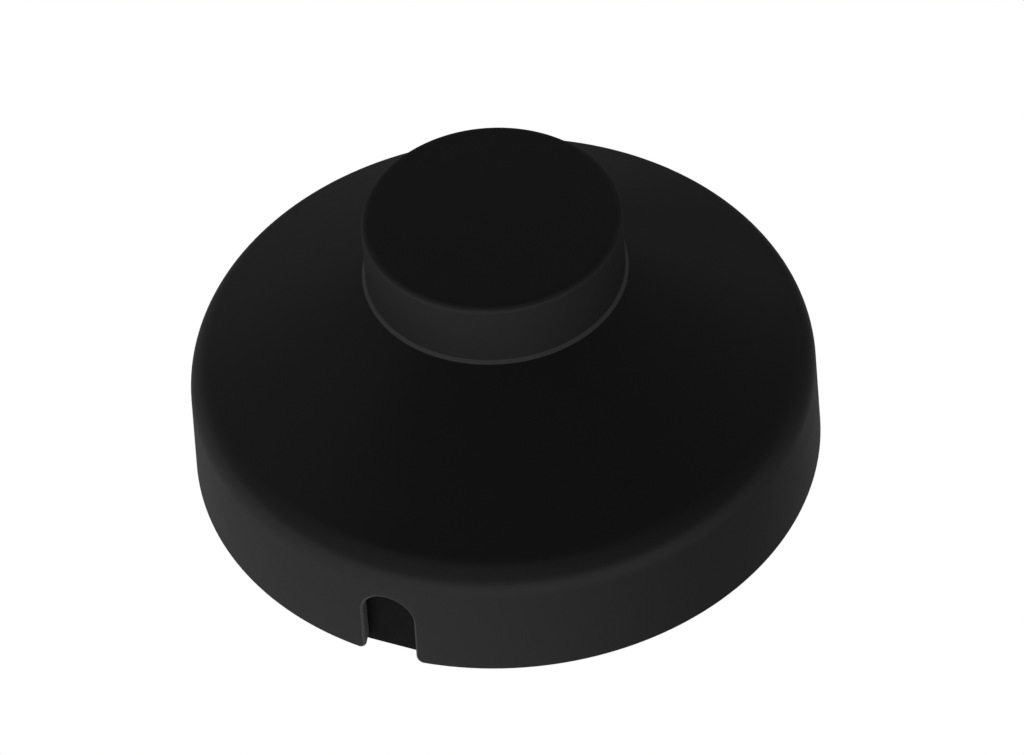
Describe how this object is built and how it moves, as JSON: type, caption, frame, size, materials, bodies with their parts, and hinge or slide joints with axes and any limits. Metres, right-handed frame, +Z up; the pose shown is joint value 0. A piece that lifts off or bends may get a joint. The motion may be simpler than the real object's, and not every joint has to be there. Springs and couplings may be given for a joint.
{
  "type": "in-line foot switch",
  "caption": "Round black in-line foot switch for a floor lamp, with a raised push button and two blanked cord entries.",
  "frame": {"origin": "bottom centre: on the floor under the middle of the button", "axes": "+Z up through the button, Y along the cord, front cord entry at -Y"},
  "size_m": [0.063, 0.0626, 0.032],
  "materials": {
    "black_moulding": "satin",
    "dull_black_moulding": "matte",
    "black_button": "satin",
    "pale_nylon": "satin",
    "red_nylon": "satin",
    "brass": "satin",
    "silver_contact": "polished",
    "spring_steel": "satin",
    "zinc_plated_steel": "satin",
    "black_rubber": "matte"
  },
  "bodies": {
    "switch_body": {"top_cover": "black_moulding", "rotor_pivot": "spring_steel", "mechanism_housing": "pale_nylon", "mechanism_lid": "pale_nylon", "mechanism_screws": "zinc_plated_steel", "line_in_contact": "brass", "line_out_contact": "brass", "contact_rivets": "silver_contact", "line_in_terminal": "brass", "line_out_terminal": "brass", "neutral_link": "brass", "earth_link": "brass", "terminal_screws": "zinc_plated_steel", "front_cord_clamp": "pale_nylon", "rear_cord_clamp": "pale_nylon", "cord_clamp_screws": "zinc_plated_steel", "base_plate": "dull_black_moulding", "cover_screws": "zinc_plated_steel", "rubber_feet": "black_rubber", "front_entry_blank": "dull_black_moulding", "rear_entry_blank": "dull_black_moulding", "return_spring": "spring_steel"},
    "button": {"push_button": "black_button", "ratchet_plunger": "red_nylon"},
    "rotor": {"ratchet_rotor": "red_nylon", "contact_bridge": "brass"}
  },
  "joints": [
    {"name": "button_press", "type": "slide", "parent": "switch_body", "child": "button", "axis": [0, 0, -1], "range_m": [0, 0.0045], "stiffness_N_per_m": 600, "springref_m": -0.004, "deforming": ["return_spring"]},
    {"name": "rotor_turn", "type": "hinge", "parent": "switch_body", "child": "rotor", "pos_m": [0, 0, 0.01], "axis": [0, 0, 1], "range_deg": [0, 45]}
  ],
  "couplings": [
    {"joint": "rotor_turn", "follows": "button_press", "rad_per_m": 174.53}
  ]
}
